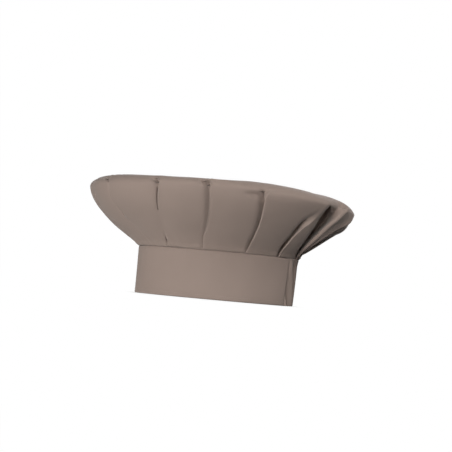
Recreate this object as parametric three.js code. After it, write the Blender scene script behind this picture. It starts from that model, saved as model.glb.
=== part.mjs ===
// A gathered cook's cap that stands on its headband. A plain stiffened headband runs round the front and
// sides, an elasticated casing closes it at the back, and the puffed crown is one disc of cloth whose edge
// is laid in knife pleats along the band's top. Each pleat is a real fold: the cloth turns back under the
// next panel, deepest at the seam, and dies out at the shoulder.
// Millimetres, +Z up. The front of the cap faces -Y and the wearer's left is +X. Directions round the cap
// are angles in degrees from the front towards the wearer's left.
import * as THREE from 'three';

const BAND = {
  halfLength: 99, // front to back, at the outer face of the rim
  halfWidth: 84,
  height: 58,
  wall: 2.4, // folded cloth and stiffening
  columns: 60,
};
const CASING = {
  from: 145, // where the elasticated back starts and ends
  to: 215,
  gap: 0.4, // between the casing and the band's ends
  ruffles: 8.5,
  ruffleDepth: 2,
  drawnIn: 3.4, // the elastic holds the casing inside the band's line
  headroom: 9, // below the seam, over which the casing is drawn in
  easedEnds: 0.12, // share of its length at each end, over which it meets the band's line
  topRuffle: 0.5, // the ruffles' share of their depth at the seam
  ruffleColumns: 6,
  rows: [0, 0.25, 0.5, 0.72, 0.86, 1], // shares of the band's height
  wall: 1.6,
};
const SEAM = {
  halfLength: 100.5,
  halfWidth: 85,
  backward: 1.5, // the seam's middle lies behind the rim's
  inset: 1.2, // from the band's outer face to the middle of the crown's cloth
  gap: 0.3, // between the band's top edge and the crown
};
const CROWN = {
  wall: 1.2,
  halfLength: 164, // at the widest line
  halfWidth: 149,
  forward: -0.5, // the widest line's middle lies this far towards the front
  // Heights above the seam, and how far the rounded shoulder runs inwards. Each has a mean, what the front
  // adds and the back takes away, and what both sides add.
  widest: { mean: 64, front: 3.5, side: 4 },
  shoulder: { mean: 78.8, front: -0.3, side: -1 },
  shoulderReach: { mean: 34, front: -14, side: -17 },
  dome: 5.5,
  puff: 2.5, // each panel swells between its pleats
};
// The flare's control points, as shares of its overhang and of its height.
const FLARE = {
  low: { out: { mean: 0.155, front: 0.085 }, up: { mean: 0.235, front: -0.015 } },
  high: { out: { mean: 0.865, front: 0.065 }, up: { mean: 0.61, front: -0.01 } },
};
const FLARE_ROWS = 9;
const SHOULDER_ROWS = 4;
const TOP_ROWS = 3;
const LEVEL_START = 0.12; // the station up to which the cloth's outward direction turns from level
const PROFILE_STEP = 0.01; // in stations, for the profile's direction
const FOLD_COLUMNS = 6;
const PANEL_COLUMNS = 5;

// One row for each pleat, with its measures at the seam, half way up the flare and at the widest line: the
// direction of the fold's edge, the length of cloth in the fold and how far that cloth turns back. The fold
// dies out at the end station, where 1 is the widest line and 2 the end of the shoulder. A negative turn
// makes a fold that faces backwards, which is the far side of a standing ridge.
const PLEATS = [
  { edge: [14, 5, 4], length: [10, 7, 5], turn: [165, 85, 60], end: 1.4 },
  { edge: [43, 49, 50], length: [10, 6, 9], turn: [165, 60, 110], end: 1.6 },
  { edge: [69, 74, 74], length: [10, 8, 9], turn: [165, 120, 115], end: 1.6 },
  { edge: [101, 101, 98], length: [10, 10, 8], turn: [165, 125, 100], end: 1.35 },
  { edge: [130, 125, 126], length: [12, 16, 7], turn: [165, 130, 60], end: 1.1 },
  { edge: [157, 141, 142], length: [11, 18, 10], turn: [165, 105, 75], end: 1.4 },
  { edge: [171, 151, 163], length: [9, 14, 6], turn: [-120, -95, -50], end: 1.2 },
  { edge: [192, 180, 178], length: [11, 13, 10], turn: [165, 110, 80], end: 1.4 },
  { edge: [219, 213, 209], length: [11, 13, 9], turn: [165, 110, 80], end: 1.4 },
  { edge: [249, 246, 244], length: [10, 9, 8], turn: [165, 115, 90], end: 1.4 },
  { edge: [280, 280, 278], length: [10, 8, 8], turn: [165, 110, 100], end: 1.5 },
  { edge: [311, 312, 313], length: [10, 7, 7], turn: [165, 90, 100], end: 1.5 },
  { edge: [341, 344, 345], length: [10, 7, 6], turn: [165, 90, 80], end: 1.5 },
];
const MIDDLE_STATION = 0.5;
const FOLD_FADE = { before: 0.5, after: 0.1 }; // stations round a fold's end, over which it flattens
const FOLD_BEND_SHARE = 0.35; // of a fold's cloth that bends at each side of its middle layer
const OUTSIDE_SHARE = 0.45; // of a fold's height that stands outside the crown's mean surface

const CLOTH = { color: 0x93827a, roughness: 0.85, metalness: 0 };

const radians = THREE.MathUtils.degToRad;
const { lerp, smoothstep } = THREE.MathUtils;

function ellipseRadius(angle, halfLength, halfWidth) {
  return 1 / Math.hypot(Math.cos(angle) / halfLength, Math.sin(angle) / halfWidth);
}

// The point at a direction, a distance from the axis and a height, for a line whose middle lies behind.
function around(angle, radius, height, backward = 0) {
  return new THREE.Vector3(radius * Math.sin(angle), backward - radius * Math.cos(angle), height);
}

// Outward directions at every point of a grid of cloth, from its neighbours. A grid that goes all the way
// round wraps its columns, and the first row can be kept level so that its edge is flat.
function outwardDirections(grid, round, levelRows) {
  const rows = grid.length;
  const columns = grid[0].length;
  return grid.map((row, j) =>
    row.map((point, i) => {
      const before = round ? row[(i + columns - 1) % columns] : row[Math.max(i - 1, 0)];
      const after = round ? row[(i + 1) % columns] : row[Math.min(i + 1, columns - 1)];
      const along = after.clone().sub(before);
      const up = grid[Math.min(j + 1, rows - 1)][i].clone().sub(grid[Math.max(j - 1, 0)][i]);
      const out = along.cross(up);
      if (levelRows.includes(j)) out.z = 0;
      return out.normalize();
    }),
  );
}

// A closed solid of cloth round a grid of points of its middle surface, rows from the bottom up. A pole
// closes the top of a grid that goes all the way round.
function clothSolid(grid, wall, { round = false, pole = null, levelRows = [] } = {}) {
  const rows = grid.length;
  const columns = grid[0].length;
  const out = outwardDirections(grid, round, levelRows);
  const points = [];
  const faces = [];
  for (const side of [1, -1]) {
    grid.forEach((row, j) =>
      row.forEach((point, i) => points.push(point.clone().addScaledVector(out[j][i], (side * wall) / 2))),
    );
  }
  const layer = rows * columns;
  const outer = (i, j) => j * columns + (i % columns);
  const inner = (i, j) => layer + outer(i, j);
  const quad = (a, b, c, d) => faces.push(a, b, c, a, c, d);
  const spans = round ? columns : columns - 1;
  for (let j = 0; j < rows - 1; j++) {
    for (let i = 0; i < spans; i++) {
      quad(outer(i, j), outer(i + 1, j), outer(i + 1, j + 1), outer(i, j + 1));
      quad(inner(i, j), inner(i, j + 1), inner(i + 1, j + 1), inner(i + 1, j));
    }
  }
  for (let i = 0; i < spans; i++) {
    quad(outer(i + 1, 0), outer(i, 0), inner(i, 0), inner(i + 1, 0));
    if (!pole) quad(outer(i, rows - 1), outer(i + 1, rows - 1), inner(i + 1, rows - 1), inner(i, rows - 1));
  }
  if (!round) {
    for (let j = 0; j < rows - 1; j++) {
      quad(outer(0, j), outer(0, j + 1), inner(0, j + 1), inner(0, j));
      quad(outer(spans, j + 1), outer(spans, j), inner(spans, j), inner(spans, j + 1));
    }
  }
  if (pole) {
    const above = points.length;
    const below = above + 1;
    points.push(pole.clone().setZ(pole.z + wall / 2), pole.clone().setZ(pole.z - wall / 2));
    for (let i = 0; i < spans; i++) {
      faces.push(outer(i, rows - 1), outer(i + 1, rows - 1), above);
      faces.push(inner(i + 1, rows - 1), inner(i, rows - 1), below);
    }
  }
  const geometry = new THREE.BufferGeometry().setFromPoints(points).setIndex(faces);
  geometry.computeVertexNormals();
  return geometry;
}

// The middle of the band's wall at a direction and height: it leans out a little to meet the seam.
function bandPoint(angle, height, wall) {
  const share = height / BAND.height;
  const rim = ellipseRadius(angle, BAND.halfLength, BAND.halfWidth);
  const seam = ellipseRadius(angle, SEAM.halfLength, SEAM.halfWidth);
  return around(angle, lerp(rim, seam, share) - wall / 2, height, SEAM.backward * share);
}

function headband() {
  const start = CASING.to - 360;
  const grid = [0, 0.5, 1].map((share) =>
    Array.from({ length: BAND.columns + 1 }, (_, i) =>
      bandPoint(radians(lerp(start, CASING.from, i / BAND.columns)), share * BAND.height, BAND.wall),
    ),
  );
  return clothSolid(grid, BAND.wall, { levelRows: [0, 1, 2] });
}

// The casing between the band's ends: upright ruffles, drawn in below the seam by the elastic inside.
function backCasing() {
  const columns = Math.round(CASING.ruffles * CASING.ruffleColumns);
  const heights = CASING.rows.map((share) => share * BAND.height);
  const spare = THREE.MathUtils.radToDeg(CASING.gap / BAND.halfLength);
  const grid = heights.map((height) =>
    Array.from({ length: columns + 1 }, (_, i) => {
      const share = i / columns;
      const angle = radians(lerp(CASING.from + spare, CASING.to - spare, share));
      const point = bandPoint(angle, height, BAND.wall);
      const held = smoothstep(BAND.height - height, 0, CASING.headroom);
      const away = smoothstep(share, 0, CASING.easedEnds) * smoothstep(1 - share, 0, CASING.easedEnds);
      const inward = CASING.drawnIn * held * away;
      const ruffle = CASING.ruffleDepth * Math.sin(2 * Math.PI * CASING.ruffles * share);
      const wave = ruffle * lerp(CASING.topRuffle, 1, held) * away;
      const level = point.clone().setY(point.y - SEAM.backward).setZ(0).normalize();
      return point.addScaledVector(level, wave - inward);
    }),
  );
  return clothSolid(grid, CASING.wall, { levelRows: [0, heights.length - 1] });
}

// The crown's mean surface, before pleats: its distance from the axis and its height above the seam, at a
// direction and a station (0 the seam, 1 the widest line, 2 the end of the shoulder, 3 the top's middle).
function meanProfile(angle, station) {
  const here = ({ mean, front, side = 0 }) => mean + front * Math.cos(angle) + side * Math.sin(angle) ** 2;
  const start = ellipseRadius(angle, SEAM.halfLength, SEAM.halfWidth) - SEAM.inset;
  const forward = CROWN.forward * Math.cos(angle);
  const reach = ellipseRadius(angle, CROWN.halfLength, CROWN.halfWidth) + forward;
  const widest = here(CROWN.widest);
  const top = here(CROWN.shoulder);
  const inwardReach = here(CROWN.shoulderReach);
  const control = ({ out, up }) => new THREE.Vector2(lerp(start, reach, here(out)), widest * here(up));
  if (station <= 1) {
    const flare = new THREE.CubicBezierCurve(
      new THREE.Vector2(start, 0),
      control(FLARE.low),
      control(FLARE.high),
      new THREE.Vector2(reach, widest),
    );
    return flare.getPoint(station);
  }
  if (station <= 2) {
    const bend = ((station - 1) * Math.PI) / 2;
    return new THREE.Vector2(
      reach - inwardReach * (1 - Math.cos(bend)),
      lerp(widest, top, Math.sin(bend)),
    );
  }
  const inwards = station - 2;
  return new THREE.Vector2(
    (reach - inwardReach) * (1 - inwards),
    top + CROWN.dome * (1 - (1 - inwards) ** 2),
  );
}

// A point of the crown, raised from the mean surface along its own outward direction.
function crownPoint(angle, station, raised) {
  const here = meanProfile(angle, station);
  const before = meanProfile(angle, Math.max(station - PROFILE_STEP, 0));
  const along = meanProfile(angle, station + PROFILE_STEP).sub(before);
  const out = new THREE.Vector2(along.y, -along.x).normalize();
  const level = 1 - smoothstep(station, 0, LEVEL_START);
  out.lerp(new THREE.Vector2(1, 0), level).normalize();
  here.addScaledVector(out, raised);
  const settle = 1 - smoothstep(station, 0, 1);
  return around(angle, here.x, BAND.height + SEAM.gap + here.y, SEAM.backward * settle);
}

// A measure given at the seam, half way up the flare and at the widest line, at any station.
function between([seam, middle, top], station) {
  if (station <= MIDDLE_STATION) return lerp(seam, middle, smoothstep(station, 0, MIDDLE_STATION));
  return lerp(middle, top, smoothstep(station, MIDDLE_STATION, 1));
}

// The fold's section at a station: points across it as steps along the cloth's line and outwards, from
// the cloth that runs under the fold to the top layer that comes back over it, or down a ridge's far side.
function foldSection(pleat, station) {
  const fade = 1 - smoothstep(station, pleat.end - FOLD_FADE.before, pleat.end + FOLD_FADE.after);
  const length = between(pleat.length, station);
  const turn = radians(between(pleat.turn, station)) * fade;
  const points = [new THREE.Vector2()];
  for (let i = 0; i < FOLD_COLUMNS; i++) {
    const share = (i + 0.5) / FOLD_COLUMNS;
    const bend = turn * smoothstep(share, 0, FOLD_BEND_SHARE) * smoothstep(1 - share, 0, FOLD_BEND_SHARE);
    const step = new THREE.Vector2(Math.cos(bend), Math.sin(bend)).multiplyScalar(length / FOLD_COLUMNS);
    points.push(points[i].clone().add(step));
  }
  const rise = points[FOLD_COLUMNS].y;
  const edge = Math.min(...points.map((point) => point.x));
  const outside = rise > 0 ? OUTSIDE_SHARE - 1 : -OUTSIDE_SHARE;
  const shift = new THREE.Vector2(-Math.min(edge, 0), rise * outside);
  return points.map((point) => point.add(shift));
}

// One level row of the crown: for each pleat, its fold and then the panel up to the next fold.
function crownRow(station) {
  const shrink = Math.min(3 - station, 1);
  const folds = PLEATS.map((pleat) => {
    const edge = radians(between(pleat.edge, station));
    const radius = meanProfile(edge, Math.min(station, 2)).x;
    return foldSection(pleat, station).map((point) => ({
      angle: edge + point.x / radius,
      raised: point.y * shrink,
    }));
  });
  const swell = CROWN.puff * smoothstep(station, 0, MIDDLE_STATION) * (1 - smoothstep(station, 1, 2));
  const row = [];
  folds.forEach((fold, k) => {
    const next = folds[(k + 1) % folds.length][0];
    const last = fold[FOLD_COLUMNS];
    const nextAngle = next.angle + (next.angle < last.angle ? 2 * Math.PI : 0);
    fold.forEach(({ angle, raised }) => row.push(crownPoint(angle, station, raised)));
    for (let i = 1; i < PANEL_COLUMNS; i++) {
      const share = i / PANEL_COLUMNS;
      const ends = last.raised * (1 - share) ** 2 + next.raised * share ** 2;
      const raised = ends + swell * 4 * share * (1 - share);
      row.push(crownPoint(lerp(last.angle, nextAngle, share), station, raised));
    }
  });
  return row;
}

function crown() {
  const stations = [];
  for (let j = 0; j <= FLARE_ROWS; j++) stations.push(j / FLARE_ROWS);
  for (let j = 1; j <= SHOULDER_ROWS; j++) stations.push(1 + j / SHOULDER_ROWS);
  for (let j = 1; j <= TOP_ROWS; j++) stations.push(2 + j / (TOP_ROWS + 1));
  const grid = stations.map(crownRow);
  const top = meanProfile(0, 3).y;
  const middle = meanProfile(Math.PI, 3).y;
  const pole = around(0, 0, BAND.height + SEAM.gap + (top + middle) / 2);
  return clothSolid(grid, CROWN.wall, { round: true, pole, levelRows: [0] });
}

function piece(name, geometry) {
  const mesh = new THREE.Mesh(geometry, new THREE.MeshStandardMaterial(CLOTH));
  mesh.name = name;
  return mesh;
}

const cap = new THREE.Group();
cap.add(piece('headband', headband()), piece('elastic_back', backCasing()), piece('crown', crown()));

// The origin is under the middle of the whole cap, on the surface where the band rests.
const middle = new THREE.Box3().setFromObject(cap).getCenter(new THREE.Vector3());
cap.position.set(-middle.x, -middle.y, 0);

export default cap;
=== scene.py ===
"""Looks of a gathered cook's cap: a pleated crown on a plain headband with an elasticated back.

Cloth surfaces are grids of points worked out in millimetres round the band's own axis, with the front of
the cap at -Y and the wearer's left at +X. Directions are degrees from the front towards the wearer's left.
Heights on the crown count from the seam with the band, and heights on the band from its lower edge.
"""

import math

import bpy
import numpy as np
from mathutils import Matrix, Vector, noise


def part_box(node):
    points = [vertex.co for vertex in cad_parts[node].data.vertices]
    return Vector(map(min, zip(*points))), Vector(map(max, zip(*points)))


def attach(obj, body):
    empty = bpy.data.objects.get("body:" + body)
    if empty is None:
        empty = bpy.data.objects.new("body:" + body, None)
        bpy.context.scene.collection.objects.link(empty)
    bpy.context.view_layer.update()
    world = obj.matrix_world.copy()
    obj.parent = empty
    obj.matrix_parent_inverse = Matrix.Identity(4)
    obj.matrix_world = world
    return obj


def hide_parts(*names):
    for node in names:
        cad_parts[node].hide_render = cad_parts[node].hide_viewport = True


MM = 0.001

# Sizes that the frame also has.
BAND = {"half_length": 99.0, "half_width": 84.0, "height": 58.0, "wall": 2.4}
SEAM = {"half_length": 100.5, "half_width": 85.0, "backward": 1.5, "inset": 1.2, "gap": 0.3}
CASING = {"start": 145.0, "end": 215.0, "gap": 0.4, "wall": 1.6, "drawn_in": 2.4, "headroom": 9.0}
# The crown's heights above the seam, and how far its rounded shoulder runs inwards. Each has a mean, what
# the front adds and the back takes away, and what both sides add.
CROWN = {
    "half_length": 164.0,
    "half_width": 149.0,
    "forward": -0.5,
    "widest": (64.0, 3.5, 4.0),
    "shoulder": (78.8, -0.3, -1.0),
    "shoulder_reach": (34.0, -14.0, -17.0),
    "dome": 5.5,
}
# The flare's control points, as shares of its overhang and of its height.
FLARE_LOW = {"out": (0.155, 0.085, 0.0), "up": (0.235, -0.015, 0.0)}
FLARE_HIGH = {"out": (0.865, 0.065, 0.0), "up": (0.61, -0.01, 0.0)}

# Where the shoulder stands a little higher: a direction with its spread, and the heights over which it grows.
LIFT = {"height": 2.2, "direction": 100.0, "spread": 22.0, "from": 58.0, "to": 76.0}

# Finer shape of the cloth.
CLOTH_THICKNESS = 0.8
FOLD_COLUMNS = (6, 4, 7)  # in the inner bend, between the bends and in the outer bend
PANEL_COLUMNS = 17
FLARE_ROWS = 46
SHOULDER_ROWS = 26
TOP_ROWS = 20
FLARE_SPACING = {"share": 0.35, "power": 1.6}  # how much closer the rows lie near the seam
TOP_MARGIN = 0.5  # of a row, left open round the top's middle
PROFILE_STEP = 0.01  # between the stations that give the crown's slope
LEVEL_END = 0.12  # up to this station the crown is raised level outwards, and above it along its normal
SINK = {"at_seam": 0.25, "power": 1.6}  # a sinking panel's share of its width at the seam, and its curve
SWELL = {"full": 0.5, "fades": (1.0, 2.0)}  # the stations where a panel's swell is full and dies out
SMALLEST_ANGLE = 1e-3
SMALLEST_LENGTH = 1e-9
FAR_AWAY = 1e9
NOISE_SHIFT = (13.7, 7.1, 3.3)  # for each seed

# Unevenness of the crown's cloth: soft waves as (depth, wavelength, seed), the heights over which they grow,
# puckers just above the seam, and the rolled edge at the seam.
WAVES = ((0.9, 55.0, 1), (0.35, 21.0, 2))
WAVES_GROW = (3.0, 25.0)
CROWN_PUCKERS = {"depth": 0.35, "pace": 1.27, "drift": 1.7, "drift_pace": 0.31, "reach": 9.0, "grow": 1.5}
CROWN_ROLL = {"depth": 0.5, "height": 2.2, "width": 2.0}

# Stations up the crown: 0 the seam, 1 the widest line, 2 the end of the shoulder, 3 the top's middle.
# One row for each pleat: at each of the stations in LEVELS, the direction of the fold's edge, the length
# of cloth in the fold and how far that cloth turns back (a negative turn is a standing ridge's far side).
# Then the station where the fold dies out and the run that it takes, the shares of its cloth in the inner
# and outer bends, the share of it that stands proud at the seam and at the widest line, how fast the panel
# behind it falls away, the width in which that panel sinks to the next fold's edge, and its swell.
LEVELS = (0.0, 0.25, 0.5, 0.75, 1.0, 1.5)
PLEATS = (
    {"edge": (8, 1, 4, 4, 4, 4), "length": (8, 7, 7, 4, 3, 3),
     "turn": (165, 125, 115, 80, 0, 0), "end": 1, "run": 0.4, "bends": (0.15, 0.12),
     "proud": (0.45, 0.45), "fall": 2, "sink": 6, "swell": 1.5},
    {"edge": (24, 23, 22, 22.8, 24.5, 19), "length": (3, 3, 3, 5, 8, 7),
     "turn": (0, 0, 10, 90, 135, 120), "end": 1.6, "run": 0.35, "bends": (0.2, 0.12),
     "proud": (0.45, 0.4), "fall": 2, "sink": 7, "swell": 1},
    {"edge": (38.2, 42, 46, 48.8, 50.7, 50.2), "length": (5, 3, 3, 3.5, 6, 10),
     "turn": (100, 15, 0, 20, 65, 135), "end": 1.5, "run": 0.2, "bends": (0.15, 0.1),
     "proud": (0.3, 0.3), "fall": 2, "sink": 10, "swell": 1.5},
    {"edge": (67.5, 68.8, 72.2, 73.8, 74, 73.4), "length": (6, 3, 3.5, 8, 12, 13),
     "turn": (165, 110, 125, 140, 145, 145), "end": 1.5, "run": 0.2, "bends": (0.13, 0.1),
     "proud": (0.4, 0.3), "fall": 2, "sink": 12, "swell": 1.5},
    {"edge": (101.8, 101.8, 101.3, 99.8, 98, 94), "length": (7, 8, 9, 9, 9, 6),
     "turn": (165, 138, 140, 140, 130, 80), "end": 1.15, "run": 0.3, "bends": (0.14, 0.1),
     "proud": (0.45, 0.45), "fall": 2, "sink": 22, "swell": 1},
    {"edge": (132.5, 129.8, 127.8, 128, 129.5, 131), "length": (8, 13, 13, 7, 2, 2),
     "turn": (165, 148, 140, 105, 0, 0), "end": 0.95, "run": 0.5, "bends": (0.15, 0.1),
     "proud": (0.35, 0.1), "fall": 1.5, "sink": 52, "swell": 0.5},
    {"edge": (160, 152, 146, 143.5, 145.5, 148), "length": (8, 20, 30, 39, 26, 12),
     "turn": (165, 152, 150, 150, 85, 60), "end": 1.6, "run": 0.5, "bends": (0.12, 0.16),
     "proud": (0.35, 0.1), "fall": 1, "sink": 30, "swell": 0},
    {"edge": (166, 156, 150.5, 152.5, 163, 171), "length": (3, 5.5, 8, 8.5, 6, 3),
     "turn": (-60, -62, -66, -66, -48, -15), "end": 1.25, "run": 0.5, "bends": (0.3, 0.3),
     "proud": (0.9, 0.9), "fall": 2, "sink": 14, "swell": 0},
    {"edge": (192, 184, 182, 182, 184, 186), "length": (8, 12, 13, 11, 6, 3),
     "turn": (165, 125, 118, 100, 65, 35), "end": 1.4, "run": 0.5, "bends": (0.2, 0.15),
     "proud": (0.45, 0.45), "fall": 2.5, "sink": 18, "swell": 1},
    {"edge": (219, 216, 213, 211, 209, 208), "length": (8, 12, 13, 10, 6, 3),
     "turn": (165, 130, 120, 100, 65, 35), "end": 1.4, "run": 0.5, "bends": (0.2, 0.15),
     "proud": (0.4, 0.4), "fall": 2.5, "sink": 16, "swell": 1.5},
    {"edge": (249, 247, 246, 245, 244, 243), "length": (8, 9, 9, 8, 5, 3),
     "turn": (165, 130, 125, 105, 70, 40), "end": 1.45, "run": 0.4, "bends": (0.2, 0.12),
     "proud": (0.4, 0.4), "fall": 2, "sink": 14, "swell": 2},
    {"edge": (280, 280, 280, 279, 278, 277), "length": (8, 8, 8, 8, 6, 4),
     "turn": (165, 130, 130, 120, 90, 50), "end": 1.45, "run": 0.3, "bends": (0.2, 0.12),
     "proud": (0.4, 0.35), "fall": 2, "sink": 12, "swell": 2},
    {"edge": (311, 311, 312, 313, 313, 312), "length": (8, 7, 7, 8, 6, 4),
     "turn": (165, 120, 120, 120, 90, 50), "end": 1.45, "run": 0.3, "bends": (0.2, 0.12),
     "proud": (0.4, 0.35), "fall": 2, "sink": 12, "swell": 2},
    {"edge": (341, 339, 338, 338, 338, 338), "length": (8, 7, 6, 7, 5, 4),
     "turn": (165, 110, 100, 110, 90, 50), "end": 1.45, "run": 0.35, "bends": (0.2, 0.12),
     "proud": (0.4, 0.35), "fall": 2, "sink": 9, "swell": 2},
)

# Small creases pressed into the crown: a path of (direction, height), and in millimetres how deep and wide
# the crease is and how high its far edge stands. The last one is a swelling, under the tip at the back.
CREASES = (
    {"path": ((50.8, 66), (50.2, 71), (49.2, 73.4), (46.6, 73.6)), "depth": 3.6, "width": 2.4, "ridge": 0.3},
    {"path": ((73.6, 66), (72.9, 71), (71.4, 73.4), (68.4, 73.6)), "depth": 3.6, "width": 2.4, "ridge": 0.3},
    {"path": ((98.5, 54), (97.8, 60), (95.6, 64.2), (88.5, 64)), "depth": 3.4, "width": 1.8, "ridge": 0.8},
    {"path": ((24, 69), (22.5, 73), (20.5, 75), (18, 75)), "depth": 1.6, "width": 2, "ridge": 0.5},
    {"path": ((152, 45), (188, 45)), "depth": -5.0, "width": 10, "ridge": 0},
)
CREASE_ENDS = (0.25, 0.35)  # the shares of a crease's length over which it grows and dies out
CREASE_REACH = 4.0  # widths from its path up to which a crease moves the cloth
CREASE_FAR_EDGE = 1.7  # widths from its path at which its far edge stands

# The folded strips of the band: steps up their outer and inner faces, and the directions of the points that
# round their edges.
FACE_STEPS = 22
INSIDE_STEPS = 10
EDGE_TURNS = (30, 60, 90, 120, 150)

# The headband: its columns and edge radius, soft waves as (depth, waves round, lean), level lines as (relief,
# height, width) for the row of stitches and the hem under it, puckers below the seam, and the edge rolled in
# at the seam.
HEADBAND = {"columns": 361, "edge_radius": 1.1}
BAND_WAVES = ((0.35, 5, 1.4), (0.25, 11, -1.0))
BAND_LINES = ((-0.30, 4.5, 0.9), (0.15, 2.2, 1.3))
BAND_PUCKERS = {"depth": 0.22, "pace": 1.05, "drift": 1.3, "drift_pace": 0.37, "reach": 5.0}
BAND_ROLL = {"depth": 0.6, "reach": 1.8}

# The elastic back: its columns and edge radius, then its gathers. They have a count, a start in radians, a
# lean at the seam that dies out away from both ends, and two wanderings along the strip. In millimetres they
# have a crest, a valley and small ripples. Their depth grows towards the rim, is least where the seam holds
# them, and fades in over a share of the strip at both ends.
GATHERS = {
    "columns": 281,
    "edge_radius": 0.75,
    "count": 7.5,
    "start": -0.4,
    "lean": 0.15,
    "lean_reach": 0.31,
    "bunching": 0.03,
    "drift": 0.5,
    "drift_count": 2.3,
    "crest": 6.4,
    "valley": 4.0,
    "roundness": 0.7,
    "small": 0.5,
    "small_lean": 3.0,
    "depth_at_seam": 0.7,
    "depth_added_at_rim": 0.5,
    "held_depth": 0.3,
    "fade": 0.05,
    "inward_fade": 0.3,
}

# The row of stitches near the band's lower edge: its height, the degrees from stitch to stitch and those left
# free at the strip's ends, then each stitch's rise, size, depth in the cloth and shape along its length.
STITCHES = {
    "height": 4.5,
    "every": 1.85,
    "margin": 1,
    "proud": 0.10,
    "length": 2.4,
    "radius": 0.22,
    "sunk": 0.4,
    "sides": 6,
    "places": (0.0, 0.15, 0.5, 0.85, 1.0),
    "widths": (0.25, 0.85, 1.0, 0.85, 0.25),
}

# The weave in metres of cloth: two thread directions, the slubs between them, and clouds of tone.
TWILL = {"pitch": 0.0011, "slant": 1.0, "relief": 0.55, "tone": 0.10}
THREADS = {"pitch": 0.00045, "slant": -0.35, "relief": 0.3}
SLUBS = {"scale": 900.0, "detail": 2.0, "relief": 0.8}
CLOUDS = {"scale": 22.0, "detail": 3.0, "tone": 0.9}
WEAVE_BUMP = {"Strength": 0.35, "Distance": 0.00012}
CLOTH_FINISH = {
    "Roughness": 0.88,
    "Specular IOR Level": 0.22,
    "Sheen Weight": 0.18,
    "Sheen Roughness": 0.45,
    "Sheen Tint": (0.95, 0.9, 0.86, 1.0),
}
CLOTH_COLOUR = (0.305, 0.238, 0.203, 1.0)
CROWN_SHADE = (0.265, 0.205, 0.174, 1.0)
BAND_SHADE = (0.268, 0.207, 0.176, 1.0)
THREAD_COLOURS = ((0.24, 0.19, 0.16, 1.0), (0.34, 0.28, 0.25, 1.0))
FIBRES = {"scale": 3000.0, "detail": 2.0}
FIBRE_BUMP = {"Strength": 0.4, "Distance": 0.00008}
THREAD_FINISH = {"Roughness": 0.6, "Sheen Weight": 0.1}
WHITE = (1.0, 1.0, 1.0, 1.0)
BLACK = (0.0, 0.0, 0.0, 1.0)

# The photograph's frame and how the camera stands to the cap.
FRAME_PIXELS = 452
SENSOR = 36.0
CAMERA = {"azimuth": 80.0, "distance": 1.4, "height": 0.012, "roll": 5.2, "pixel_mm": 1.25}
AXIS_PIXEL = (213.7, 299.2)  # where the middle of the rim shows
CAMERA_REACH = 40.0

# The ground, which shades near its middle and glows from the second distance on, and the white behind it.
FLOOR = {"size": 6.0, "sides": 96, "height": -0.0002, "shaded": (0.085, 0.115)}
FLOOR_COLOUR = (0.93, 0.93, 0.93, 1.0)
BACKDROP = {"radius": 8.0, "segments": 48, "rings": 24}
BACKDROP_FINISH = {
    "Base Color": BLACK,
    "Roughness": 1.0,
    "Specular IOR Level": 0.1,
    "Emission Color": WHITE,
    "Emission Strength": 1.0,
}

# Lights as (name, azimuth, elevation, size, power), and their distance from the point that they face.
LIGHTS = (
    ("key", 66.0, 5.0, 0.9, 24.0),
    ("low_fill", 20.0, -35.0, 1.0, 18.5),
    ("side_top", 138.0, 40.0, 1.0, 19.5),
    ("back", 240.0, 22.0, 1.4, 22.0),
)
LIGHT_DISTANCE = 1.9
LIGHT_AIM = (0.0, 0.0, 0.07)
# The fill from all round: its strength at a low and at a high direction.
FILL = {"colour": (1.0, 0.99, 0.97, 1.0), "heights": (-0.4, 0.3), "strengths": (0.02, 0.08)}


def in_direction(terms, angle):
    """A value from its mean, the front's addition and the sides' addition."""
    return terms[0] + terms[1] * np.cos(angle) + terms[2] * np.sin(angle) ** 2


def smoothstep(value, low, high):
    share = np.clip((value - low) / (high - low), 0.0, 1.0)
    return share * share * (3.0 - 2.0 * share)


def bell(value, middle, width):
    """A bell curve that is 1 at its middle."""
    return np.exp(-(((value - middle) / width) ** 2))


def pucker_wave(turn, puckers):
    """An irregular wave round the cap, from -1 to 1, by direction in degrees."""
    return np.sin(turn * puckers["pace"] + puckers["drift"] * np.sin(turn * puckers["drift_pace"]))


def ellipse_radius(angle, half_length, half_width):
    return 1.0 / np.hypot(np.cos(angle) / half_length, np.sin(angle) / half_width)


def around(angle, radius, height, backward=0.0):
    """Points at a direction, a distance from the axis and a height."""
    x = radius * np.sin(angle)
    y = backward - radius * np.cos(angle)
    return np.stack(np.broadcast_arrays(x, y, height), axis=-1)


def mean_profile(angle, station):
    """Distance from the axis and height above the seam of the crown's mean surface."""
    start = ellipse_radius(angle, SEAM["half_length"], SEAM["half_width"]) - SEAM["inset"]
    reach = ellipse_radius(angle, CROWN["half_length"], CROWN["half_width"])
    reach = reach + CROWN["forward"] * np.cos(angle)
    widest = in_direction(CROWN["widest"], angle)
    top = in_direction(CROWN["shoulder"], angle)
    inward = in_direction(CROWN["shoulder_reach"], angle)
    if station <= 1.0:
        t = station
        weights = ((1 - t) ** 3, 3 * t * (1 - t) ** 2, 3 * t * t * (1 - t), t**3)
        shares_out = (0.0, in_direction(FLARE_LOW["out"], angle), in_direction(FLARE_HIGH["out"], angle), 1.0)
        shares_up = (0.0, in_direction(FLARE_LOW["up"], angle), in_direction(FLARE_HIGH["up"], angle), 1.0)
        out = sum(w * s for w, s in zip(weights, shares_out))
        up = sum(w * s for w, s in zip(weights, shares_up))
        return start + (reach - start) * out, widest * up
    if station <= 2.0:
        bend = (station - 1.0) * math.pi / 2
        return reach - inward * (1 - math.cos(bend)), widest + (top - widest) * math.sin(bend)
    inwards = station - 2.0
    return (reach - inward) * (1 - inwards), top + CROWN["dome"] * (1 - (1 - inwards) ** 2)


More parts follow.
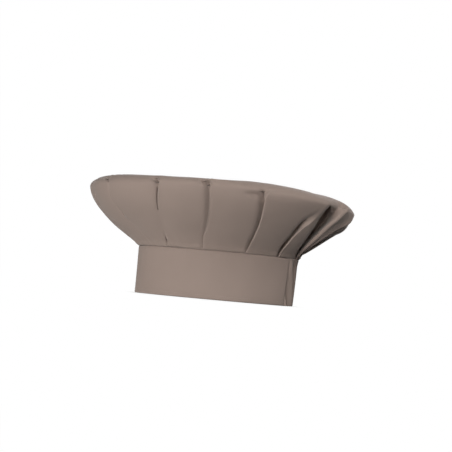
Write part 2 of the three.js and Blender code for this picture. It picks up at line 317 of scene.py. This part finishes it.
def crown_points(angle, station, raised):
    """Points of the crown, raised from the mean surface along its own outward direction."""
    radius, height = mean_profile(angle, station)
    radius_before, height_before = mean_profile(angle, max(station - PROFILE_STEP, 0.0))
    radius_after, height_after = mean_profile(angle, station + PROFILE_STEP)
    out_radius = height_after - height_before
    out_height = radius_before - radius_after
    size = np.hypot(out_radius, out_height)
    level = 1.0 - smoothstep(station, 0.0, LEVEL_END)
    out_radius = (out_radius / size) * (1 - level) + level
    out_height = (out_height / size) * (1 - level)
    size = np.hypot(out_radius, out_height)
    settle = 1.0 - smoothstep(station, 0.0, 1.0)
    return around(
        angle,
        radius + raised * out_radius / size,
        BAND["height"] + SEAM["gap"] + height + raised * out_height / size,
        SEAM["backward"] * settle,
    )


def at_station(values, station):
    """A value given at LEVELS, on a smooth curve between them."""
    slopes = np.gradient(np.array(values, dtype=float), LEVELS)
    slopes[-1] = 0.0
    for k, (low, high) in enumerate(zip(LEVELS, LEVELS[1:])):
        if station <= high:
            t = (station - low) / (high - low)
            before, after = values[k], values[k + 1]
            bow = (high - low) * t * (1 - t) * (slopes[k] * (1 - t) - slopes[k + 1] * t)
            return before + (after - before) * t * t * (3 - 2 * t) + bow
    return values[-1]


def fold_section(pleat, station):
    """Steps along the cloth's line and outwards, from under the fold to the layer that comes over it."""
    fade = 1.0 - smoothstep(station, pleat["end"] - pleat["run"], pleat["end"])
    length = at_station(pleat["length"], station)
    turn = math.radians(at_station(pleat["turn"], station)) * fade
    inner, outer = pleat["bends"]
    ends = (inner, 1.0 - inner - outer, outer)
    step = np.concatenate([np.full(count, part / count) for count, part in zip(FOLD_COLUMNS, ends)])
    share = np.cumsum(step) - step / 2
    bend = turn * np.clip(share / inner, 0, 1) * np.clip((1 - share) / outer, 0, 1)
    x = np.concatenate([[0.0], np.cumsum(np.cos(bend) * step * length)])
    y = np.concatenate([[0.0], np.cumsum(np.sin(bend) * step * length)])
    low, high = pleat["proud"]
    proud = low + (high - low) * min(station, 1.0)
    below = 1 - proud if y[-1] > 0 else proud
    return x - min(x.min(), 0.0), y - y[-1] * below


def crown_row(station):
    """One level row of the crown: its points, and for each its direction and its distance along the cloth."""
    shrink = min(3.0 - station, 1.0)
    folds = []
    for pleat in PLEATS:
        edge = math.radians(at_station(pleat["edge"], station))
        radius = float(mean_profile(np.array(edge), min(station, 2.0))[0])
        x, y = fold_section(pleat, station)
        folds.append((edge + x / radius, y * shrink))
    angles = []
    raises = []
    even = np.arange(1, PANEL_COLUMNS) / PANEL_COLUMNS
    share = (0.5 - 0.5 * np.cos(np.pi * even) + even) / 2
    grown = smoothstep(station, 0.0, SWELL["full"]) * (1 - smoothstep(station, *SWELL["fades"]))
    for k, (fold_angle, fold_raised) in enumerate(folds):
        pleat = PLEATS[k]
        next_fold_angle, next_fold_raised = folds[(k + 1) % len(folds)]
        last_angle = fold_angle[-1]
        next_angle = next_fold_angle[0]
        if next_angle < last_angle:
            next_angle += 2 * math.pi
        edge = next_fold_angle.min()
        if edge < last_angle - math.pi:
            edge += 2 * math.pi
        angle = last_angle + (next_angle - last_angle) * share
        widening = SINK["at_seam"] + (1 - SINK["at_seam"]) * min(station, 1.0) ** 2
        width = pleat["sink"] * widening / CROWN["half_width"]
        width = max(min(width, edge - last_angle), SMALLEST_ANGLE)
        sinking = np.clip(1 - (edge - angle) / width, 0, 1) ** SINK["power"]
        ends = fold_raised[-1] * (1 - share) ** pleat["fall"] + next_fold_raised[0] * sinking
        angles.append(fold_angle)
        raises.append(fold_raised)
        angles.append(angle)
        raises.append(ends + pleat["swell"] * grown * 4 * share * (1 - share))
    angle = np.concatenate(angles)
    return angle, crown_points(angle, station, np.concatenate(raises))


def crown_stations():
    flare = np.linspace(0, 1, FLARE_ROWS + 1)
    flare = (1 - FLARE_SPACING["share"]) * flare + FLARE_SPACING["share"] * flare ** FLARE_SPACING["power"]
    shoulder = 1 + np.arange(1, SHOULDER_ROWS + 1) / SHOULDER_ROWS
    top = 2 + np.arange(1, TOP_ROWS + 1) / (TOP_ROWS + TOP_MARGIN)
    return np.concatenate([flare, shoulder, top])


def grid_normals(grid):
    """Outward directions of a grid whose rows close on themselves."""
    along = np.roll(grid, -1, axis=1) - np.roll(grid, 1, axis=1)
    up = np.gradient(grid, axis=0)
    out = np.cross(along, up)
    return out / np.maximum(np.linalg.norm(out, axis=-1, keepdims=True), SMALLEST_LENGTH)


def crease_displacement(angle, height, crease):
    """How far a crease moves each point of the crown outwards."""
    scale = CROWN["half_width"] * math.pi / 180
    path = np.array([(a * scale, z) for a, z in crease["path"]])
    here = np.stack([np.degrees(angle) * scale, height], axis=-1)
    lengths = np.linalg.norm(np.diff(path, axis=0), axis=1)
    total = lengths.sum()
    best = np.full(angle.shape, FAR_AWAY)
    signed = np.zeros(angle.shape)
    place = np.zeros(angle.shape)
    done = 0.0
    for start, end, length in zip(path, path[1:], lengths):
        direction = (end - start) / length
        offset = here - start
        t = np.clip(offset @ direction, 0, length)
        away = offset - t[..., None] * direction
        distance = np.linalg.norm(away, axis=-1)
        side = direction[1] * offset[..., 0] - direction[0] * offset[..., 1]
        nearer = distance < best
        best = np.where(nearer, distance, best)
        signed = np.where(nearer, np.sign(side) * distance, signed)
        place = np.where(nearer, (done + t) / total, place)
        done += length
    width = crease["width"]
    fade = smoothstep(place, 0.0, CREASE_ENDS[0]) * smoothstep(1 - place, 0.0, CREASE_ENDS[1])
    fade = fade * (best < CREASE_REACH * width)
    valley = -crease["depth"] * bell(signed, 0.0, width)
    ridge = crease["ridge"] * bell(signed, CREASE_FAR_EDGE * width, width)
    return (valley + ridge) * fade


def cloth_noise(points, size, seed):
    """Smooth noise of about that wavelength in millimetres, from -1 to 1, at each point."""
    flat = points.reshape(-1, 3) / size
    shift = Vector([seed * value for value in NOISE_SHIFT])
    values = [noise.noise(Vector(p) + shift) for p in flat]
    return np.array(values).reshape(points.shape[:-1])


def crown_grid():
    rows = [crown_row(station) for station in crown_stations()]
    angle = np.array([row[0] for row in rows])
    grid = np.array([row[1] for row in rows])
    height = grid[..., 2] - BAND["height"] - SEAM["gap"]
    reach = np.hypot(grid[..., 0], grid[..., 1]) / CROWN["half_width"]
    turn = np.degrees(angle)
    lift = LIFT["height"] * bell(turn, LIFT["direction"], LIFT["spread"])
    grid[..., 2] += lift * smoothstep(height, LIFT["from"], LIFT["to"]) * reach**2
    out = grid_normals(grid)
    moved = sum(depth * cloth_noise(grid, wavelength, seed) for depth, wavelength, seed in WAVES)
    moved = moved * smoothstep(height, *WAVES_GROW)
    pucker = CROWN_PUCKERS["depth"] * pucker_wave(turn, CROWN_PUCKERS)
    grown = np.exp(-height / CROWN_PUCKERS["reach"]) * smoothstep(height, 0.0, CROWN_PUCKERS["grow"])
    moved = moved + pucker * grown
    moved = moved + CROWN_ROLL["depth"] * bell(height, CROWN_ROLL["height"], CROWN_ROLL["width"])
    for crease in CREASES:
        moved = moved + crease_displacement(angle, height, crease)
    return grid + out * moved[..., None], angle


def place_offset():
    """The band's own axis in the frame, in metres."""
    low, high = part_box("headband")
    x = (low[0] + high[0]) / 2
    y = low[1] + BAND["half_length"] * MM
    return Vector((x, y, 0.0))


def make_mesh(name, points, faces, uvs):
    """A mesh object from points in millimetres, faces, and each point's flat cloth coordinate in metres."""
    mesh = bpy.data.meshes.new(name)
    offset = np.array(OFFSET)
    mesh.from_pydata((points * MM + offset).tolist(), [], faces)
    layer = mesh.uv_layers.new(name="cloth")
    corner = np.empty(len(mesh.loops), dtype=np.int32)
    mesh.loops.foreach_get("vertex_index", corner)
    layer.data.foreach_set("uv", uvs[corner].astype(np.float32).ravel())
    mesh.polygons.foreach_set("use_smooth", [True] * len(mesh.polygons))
    mesh.update()
    piece = bpy.data.objects.new(name, mesh)
    bpy.context.scene.collection.objects.link(piece)
    return piece


def apply_modifier(piece, modifier):
    bpy.ops.object.select_all(action="DESELECT")
    bpy.context.view_layer.objects.active = piece
    piece.select_set(True)
    bpy.ops.object.modifier_apply(modifier=modifier.name)


def make_crown():
    grid, angle = crown_grid()
    rows, columns = grid.shape[:2]
    middle = grid[-1].mean(axis=0)
    middle[2] = grid[-1][:, 2].max()
    points = np.concatenate([grid.reshape(-1, 3), middle[None]])
    faces = []
    for j in range(rows - 1):
        for i in range(columns):
            k = (i + 1) % columns
            faces.append((j * columns + i, j * columns + k, (j + 1) * columns + k, (j + 1) * columns + i))
    pole = rows * columns
    for i in range(columns):
        faces.append(((rows - 1) * columns + i, (rows - 1) * columns + (i + 1) % columns, pole))

    steps = np.linalg.norm(np.diff(grid, axis=0), axis=-1)
    down = np.concatenate([np.cumsum(steps[::-1], axis=0)[::-1], np.zeros((1, columns))])
    down = down + np.linalg.norm(grid[-1] - middle, axis=-1)
    edge = np.linalg.norm(np.roll(grid[0], -1, axis=0) - grid[0], axis=-1)
    turn = 2 * np.pi * np.concatenate([[0.0], np.cumsum(edge)[:-1]]) / edge.sum()
    flat = np.stack([down * np.cos(turn), down * np.sin(turn)], axis=-1).reshape(-1, 2)
    uvs = np.concatenate([flat, [[0.0, 0.0]]]) * MM
    piece = make_mesh("crown_cloth", points, faces, uvs)
    shell = piece.modifiers.new("thickness", "SOLIDIFY")
    shell.thickness = CLOTH_THICKNESS * MM
    shell.offset = 0.0
    apply_modifier(piece, shell)
    return piece, float(down[0].mean())


def band_base(angle, height):
    """Distance from the axis of the band's outer face, and how far its middle lies back."""
    share = height / BAND["height"]
    rim = ellipse_radius(angle, BAND["half_length"], BAND["half_width"])
    seam = ellipse_radius(angle, SEAM["half_length"], SEAM["half_width"])
    return rim + (seam - rim) * share, SEAM["backward"] * share


def strip_section(wall, edge_radius):
    """A folded strip's cross-section: steps outwards from its outer face, and heights, once round."""
    low = edge_radius
    high = BAND["height"] - edge_radius
    middle = -wall / 2
    turns = np.radians(EDGE_TURNS)
    face = [(0.0, height) for height in np.linspace(low, high, FACE_STEPS + 1)]
    top = [(middle - middle * math.cos(a), high + edge_radius * math.sin(a)) for a in turns]
    inside = [(-wall, height) for height in np.linspace(high, low, INSIDE_STEPS + 1)]
    bottom = [(middle + middle * math.cos(a), low - edge_radius * math.sin(a)) for a in turns]
    return np.array(face + top + inside + bottom)


def strip_piece(name, angles, section, move):
    """A folded strip of cloth round the axis, open at both ends, its outer face moved outwards by move."""
    out, height = section[:, 0], section[:, 1]
    grid_angle, grid_out = np.meshgrid(angles, out)
    grid_height = np.repeat(height[:, None], len(angles), axis=1)
    radius, backward = band_base(grid_angle, grid_height)
    outside = smoothstep(grid_out, -BAND["wall"], 0.0)
    radius = radius + grid_out + move(grid_angle, grid_height, outside)
    grid = around(grid_angle, radius, grid_height, backward)
    rows, columns = grid.shape[:2]
    faces = []
    for j in range(rows):
        n = (j + 1) % rows
        for i in range(columns - 1):
            faces.append((j * columns + i, j * columns + i + 1, n * columns + i + 1, n * columns + i))
    faces.append([j * columns for j in range(rows)])
    faces.append([j * columns + columns - 1 for j in range(rows)][::-1])
    step = np.linalg.norm(np.diff(grid[0], axis=0), axis=-1)
    along = np.concatenate([[0.0], np.cumsum(step)])
    section_steps = np.concatenate([[0.0], np.cumsum(np.hypot(np.diff(out), np.diff(height)))])
    uv = np.stack(np.meshgrid(along, section_steps), axis=-1).reshape(-1, 2) * MM
    return make_mesh(name, grid.reshape(-1, 3), faces, uv)


def make_headband():
    angles = np.radians(np.linspace(CASING["end"] - 360, CASING["start"], HEADBAND["columns"]))
    section = strip_section(BAND["wall"], HEADBAND["edge_radius"])
    top = BAND["height"]

    def move(angle, height, outside):
        turn = np.degrees(angle)
        waves = sum(d * np.sin(np.radians(turn * count + height * lean)) for d, count, lean in BAND_WAVES)
        soft = waves * np.sin(np.pi * np.clip(height / top, 0, 1))
        lines = sum(relief * bell(height, middle, width) for relief, middle, width in BAND_LINES)
        pucker = BAND_PUCKERS["depth"] * pucker_wave(turn, BAND_PUCKERS)
        pucker = pucker * np.exp(-(top - height) / BAND_PUCKERS["reach"])
        roll = -BAND_ROLL["depth"] * smoothstep(height, top - BAND_ROLL["reach"], top)
        return soft + (lines + pucker + roll) * outside

    return strip_piece("headband_cloth", angles, section, move)


def gather_phase(share, level):
    """Where in the gathers a place on the elastic back lies, in radians."""
    reach = GATHERS["lean_reach"]
    lean = GATHERS["lean"] * level * (np.exp(-share / reach) - np.exp((share - 1) / reach))
    bunching = GATHERS["bunching"] * np.sin(4 * np.pi * share)
    phase = 2 * np.pi * GATHERS["count"] * (share + lean - bunching) + GATHERS["start"]
    return phase + GATHERS["drift"] * np.sin(2 * np.pi * GATHERS["drift_count"] * share)


def between_ends(share, run):
    """0 at both ends of a strip and 1 between them, changing over a run from each end."""
    return smoothstep(share, 0, run) * smoothstep(1 - share, 0, run)


def make_casing():
    spare = math.degrees(CASING["gap"] / BAND["half_length"])
    start = CASING["start"] + spare
    end = CASING["end"] - spare
    angles = np.radians(np.linspace(start, end, GATHERS["columns"]))
    section = strip_section(CASING["wall"], GATHERS["edge_radius"])
    inset = -(BAND["wall"] - CASING["wall"]) / 2

    def move(angle, height, outside):
        share = (np.degrees(angle) - start) / (end - start)
        held = smoothstep(BAND["height"] - height, 0.0, CASING["headroom"])
        level = height / BAND["height"]
        phase = gather_phase(share, level)
        ruffle = np.abs(np.cos(phase / 2)) ** GATHERS["roundness"]
        small = GATHERS["small"] * np.sin(2 * phase + GATHERS["small_lean"] * level)
        deep = GATHERS["crest"] * ruffle - GATHERS["valley"] + small
        deep = deep * (GATHERS["depth_at_seam"] + GATHERS["depth_added_at_rim"] * (1 - level))
        deep = deep * between_ends(share, GATHERS["fade"])
        deep = deep * (GATHERS["held_depth"] + (1 - GATHERS["held_depth"]) * held)
        inward = CASING["drawn_in"] * held * between_ends(share, GATHERS["inward_fade"])
        return inset - inward + deep

    return strip_piece("elastic_back_cloth", angles, section, move)


def make_hem_stitches():
    """Short sewn stitches lying along the band, joined into one mesh."""
    first_turn = CASING["end"] - 360 + STITCHES["margin"]
    last_turn = CASING["start"] - STITCHES["margin"]
    height = STITCHES["height"]
    radius = STITCHES["radius"]
    sides = STITCHES["sides"]
    places = STITCHES["places"]
    points = []
    faces = []
    for angle in np.radians(np.arange(first_turn, last_turn, STITCHES["every"])):
        base, backward = band_base(np.array(angle), np.array(height))
        base = float(base)
        span = STITCHES["length"] / base
        first = len(points)
        for share, width in zip(places, STITCHES["widths"]):
            turn = angle + span * (share - 0.5)
            rise = STITCHES["proud"] * math.sin(math.pi * share) - STITCHES["sunk"] * radius
            for k in range(sides):
                around_thread = 2 * math.pi * k / sides
                out = base + rise + width * radius * math.cos(around_thread)
                up = height + width * radius * math.sin(around_thread)
                points.append(around(np.array(turn), out, up, float(backward)))
        for j in range(len(places) - 1):
            for k in range(sides):
                n = (k + 1) % sides
                a = first + j * sides
                faces.append((a + k, a + sides + k, a + sides + n, a + n))
        faces.append([first + k for k in range(sides)])
        faces.append([first + (len(places) - 1) * sides + k for k in range(sides)][::-1])
    points = np.array(points)
    return make_mesh("hem_stitches", points, faces, points[:, :2] * MM)


class Nodes:
    """Small helper that adds and links shader nodes."""

    def __init__(self, material):
        material.use_nodes = True
        self.tree = material.node_tree
        self.tree.nodes.clear()

    def add(self, kind, inputs=None, **settings):
        node = self.tree.nodes.new(kind)
        for key, value in settings.items():
            setattr(node, key, value)
        for key, value in (inputs or {}).items():
            if isinstance(value, bpy.types.NodeSocket):
                self.tree.links.new(value, node.inputs[key])
            else:
                node.inputs[key].default_value = value
        return node

    def math(self, operation, first, second=0.0):
        return self.add("ShaderNodeMath", {0: first, 1: second}, operation=operation).outputs[0]


def thread_wave(nodes, coordinate, thread):
    """A sine along one thread direction of the cloth, from its flat coordinates."""
    pace = 2 * math.pi / thread["pitch"]
    parts = nodes.add("ShaderNodeSeparateXYZ", {0: coordinate})
    across = nodes.math("MULTIPLY", parts.outputs[0], pace)
    along = nodes.math("MULTIPLY", parts.outputs[1], thread["slant"] * pace)
    return nodes.math("SINE", nodes.math("ADD", across, along))


def cloth_noise_node(nodes, coordinate, settings):
    values = {"Vector": coordinate, "Scale": settings["scale"], "Detail": settings["detail"]}
    return nodes.add("ShaderNodeTexNoise", values).outputs["Fac"]


def cloth_material(name, shade):
    """Fine twill in a cotton blend: two thread directions, faint slubs and a soft bloom."""
    material = bpy.data.materials.new(name)
    nodes = Nodes(material)
    flat = nodes.add("ShaderNodeUVMap", uv_map="cloth").outputs[0]
    place = nodes.add("ShaderNodeTexCoord").outputs["Object"]
    twill = thread_wave(nodes, flat, TWILL)
    threads = thread_wave(nodes, flat, THREADS)
    slub = cloth_noise_node(nodes, flat, SLUBS)
    cloud = cloth_noise_node(nodes, place, CLOUDS)
    raised_twill = nodes.math("MULTIPLY", twill, TWILL["relief"])
    weave = nodes.math("ADD", raised_twill, nodes.math("MULTIPLY", threads, THREADS["relief"]))
    weave = nodes.math("ADD", weave, nodes.math("MULTIPLY", slub, SLUBS["relief"]))

    tone = nodes.math("MULTIPLY", nodes.math("SUBTRACT", cloud, 0.5), CLOUDS["tone"])
    tone = nodes.math("ADD", tone, nodes.math("MULTIPLY", twill, TWILL["tone"]))
    tone = nodes.math("ADD", nodes.math("MULTIPLY", tone, 0.5), 0.5)
    mix = nodes.add("ShaderNodeMix", {0: tone, 6: shade, 7: CLOTH_COLOUR}, data_type="RGBA")
    bump = nodes.add("ShaderNodeBump", {**WEAVE_BUMP, "Height": weave})
    values = {**CLOTH_FINISH, "Base Color": mix.outputs[2], "Normal": bump.outputs[0]}
    surface = nodes.add("ShaderNodeBsdfPrincipled", values)
    nodes.add("ShaderNodeOutputMaterial", {"Surface": surface.outputs[0]})
    return material


def thread_material():
    material = bpy.data.materials.new("thread")
    nodes = Nodes(material)
    place = nodes.add("ShaderNodeTexCoord").outputs["Object"]
    fibre = cloth_noise_node(nodes, place, FIBRES)
    bump = nodes.add("ShaderNodeBump", {**FIBRE_BUMP, "Height": fibre})
    dark, light = THREAD_COLOURS
    mix = nodes.add("ShaderNodeMix", {0: fibre, 6: dark, 7: light}, data_type="RGBA")
    values = {**THREAD_FINISH, "Base Color": mix.outputs[2], "Normal": bump.outputs[0]}
    surface = nodes.add("ShaderNodeBsdfPrincipled", values)
    nodes.add("ShaderNodeOutputMaterial", {"Surface": surface.outputs[0]})
    return material


def backdrop_material():
    """Even white that only glows."""
    material = bpy.data.materials.new("backdrop_paint")
    nodes = Nodes(material)
    surface = nodes.add("ShaderNodeBsdfPrincipled", BACKDROP_FINISH)
    nodes.add("ShaderNodeOutputMaterial", {"Surface": surface.outputs[0]})
    return material


def floor_material():
    """Pale paint that shades under the cap and brightens to white away from it."""
    material = bpy.data.materials.new("floor_paint")
    nodes = Nodes(material)
    place = nodes.add("ShaderNodeTexCoord").outputs["Object"]
    away = nodes.add("ShaderNodeVectorMath", {0: place}, operation="LENGTH").outputs["Value"]
    near, far = FLOOR["shaded"]
    values = {0: away, 1: near, 2: far}
    share = nodes.add("ShaderNodeMapRange", values, interpolation_type="SMOOTHSTEP").outputs[0]
    paint = nodes.add("ShaderNodeBsdfDiffuse", {"Color": FLOOR_COLOUR}).outputs[0]
    glow = nodes.add("ShaderNodeEmission", {"Color": WHITE, "Strength": 1.0}).outputs[0]
    mixed = nodes.add("ShaderNodeMixShader", {0: share, 1: paint, 2: glow}).outputs[0]
    nodes.add("ShaderNodeOutputMaterial", {"Surface": mixed})
    return material


def make_stage():
    """A pale floor and a plain white backdrop that the camera sees and the light ignores."""
    bpy.ops.mesh.primitive_circle_add(vertices=FLOOR["sides"], radius=FLOOR["size"] / 2, fill_type="NGON")
    floor = bpy.context.object
    floor.name = "floor"
    floor.location = (0.0, 0.0, FLOOR["height"])
    floor.data.materials.append(floor_material())
    floor.visible_diffuse = False
    floor.visible_glossy = False
    floor.visible_shadow = False
    bpy.ops.mesh.primitive_uv_sphere_add(
        segments=BACKDROP["segments"], ring_count=BACKDROP["rings"], radius=BACKDROP["radius"]
    )
    backdrop = bpy.context.object
    backdrop.name = "backdrop"
    backdrop.data.materials.append(backdrop_material())
    backdrop.visible_diffuse = False
    backdrop.visible_glossy = False
    backdrop.visible_transmission = False
    backdrop.visible_shadow = False


def area_light(name, azimuth, elevation, size, power):
    """A soft square light at an azimuth from the front towards the wearer's left."""
    light = bpy.data.lights.new(name, "AREA")
    light.shape = "SQUARE"
    light.size = size
    light.energy = power
    piece = bpy.data.objects.new(name, light)
    turn = math.radians(azimuth)
    rise = math.radians(elevation)
    away = Vector((math.sin(turn) * math.cos(rise), -math.cos(turn) * math.cos(rise), math.sin(rise)))
    piece.location = Vector(LIGHT_AIM) + away * LIGHT_DISTANCE
    piece.rotation_euler = (-away).to_track_quat("-Z", "Y").to_euler()
    bpy.context.scene.collection.objects.link(piece)


def make_world():
    """A weak fill from all round, weakest from below."""
    world = bpy.data.worlds.new("studio")
    bpy.context.scene.world = world
    nodes = Nodes(world)
    place = nodes.add("ShaderNodeTexCoord").outputs["Generated"]
    height = nodes.add("ShaderNodeSeparateXYZ", {0: place}).outputs[2]
    (low, high), (weak, strong) = FILL["heights"], FILL["strengths"]
    strength = nodes.add("ShaderNodeMapRange", {0: height, 1: low, 2: high, 3: weak, 4: strong}).outputs[0]
    glow = nodes.add("ShaderNodeBackground", {"Color": FILL["colour"], "Strength": strength})
    nodes.add("ShaderNodeOutputWorld", {"Surface": glow.outputs[0]})


def make_lights():
    """A low key from the cap's left, a fill from below the floor, and light from above at the back."""
    for light in LIGHTS:
        area_light(*light)


def make_camera():
    """A camera at the photograph's angle to the cap, just above the floor."""
    turn = math.radians(CAMERA["azimuth"])
    forward = Vector((-math.sin(turn), math.cos(turn), 0.0))
    right = Vector((math.cos(turn), math.sin(turn), 0.0))
    focal_pixels = CAMERA["distance"] / (CAMERA["pixel_mm"] * MM)
    roll = math.radians(CAMERA["roll"])
    across = AXIS_PIXEL[0] - FRAME_PIXELS / 2
    down = AXIS_PIXEL[1] - FRAME_PIXELS / 2
    level_across = across * math.cos(roll) + down * math.sin(roll)
    level_down = down * math.cos(roll) - across * math.sin(roll)
    place = OFFSET - forward * CAMERA["distance"] + Vector((0.0, 0.0, CAMERA["height"]))
    pitch = math.atan2(level_down, focal_pixels) - math.atan2(CAMERA["height"], CAMERA["distance"])
    yaw = math.atan2(-level_across, focal_pixels)
    aim = forward * math.cos(yaw) + right * math.sin(yaw)
    aim = aim * math.cos(pitch) + Vector((0.0, 0.0, math.sin(pitch)))
    camera = bpy.data.cameras.new("camera")
    camera.sensor_width = SENSOR
    camera.lens = focal_pixels * SENSOR / FRAME_PIXELS
    camera.clip_end = CAMERA_REACH
    piece = bpy.data.objects.new("camera", camera)
    level = aim.to_track_quat("-Z", "Y").to_matrix().to_4x4()
    piece.matrix_world = Matrix.Translation(place) @ level @ Matrix.Rotation(roll, 4, "Z")
    bpy.context.scene.collection.objects.link(piece)
    bpy.context.scene.camera = piece


def dress(piece, material, node=None):
    piece.data.materials.append(material)
    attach(piece, "root")
    if node:
        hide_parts(node)


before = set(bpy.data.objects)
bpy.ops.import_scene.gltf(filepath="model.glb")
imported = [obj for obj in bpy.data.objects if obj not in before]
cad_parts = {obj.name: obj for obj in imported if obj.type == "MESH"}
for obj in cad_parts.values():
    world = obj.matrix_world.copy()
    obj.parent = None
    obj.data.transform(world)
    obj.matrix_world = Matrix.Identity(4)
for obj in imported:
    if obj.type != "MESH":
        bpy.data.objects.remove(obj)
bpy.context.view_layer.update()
OFFSET = place_offset()
make_camera()

crown, flat_radius = make_crown()
headband = make_headband()
casing = make_casing()
hem_stitches = make_hem_stitches()

cloth = cloth_material("crown_cloth", CROWN_SHADE)
band_cloth = cloth_material("band_cloth", BAND_SHADE)
thread = thread_material()
dress(crown, cloth, "crown")
dress(headband, band_cloth, "headband")
dress(casing, band_cloth, "elastic_back")
dress(hem_stitches, thread)

make_stage()
make_world()
make_lights()
bpy.context.scene.view_settings.view_transform = "Standard"
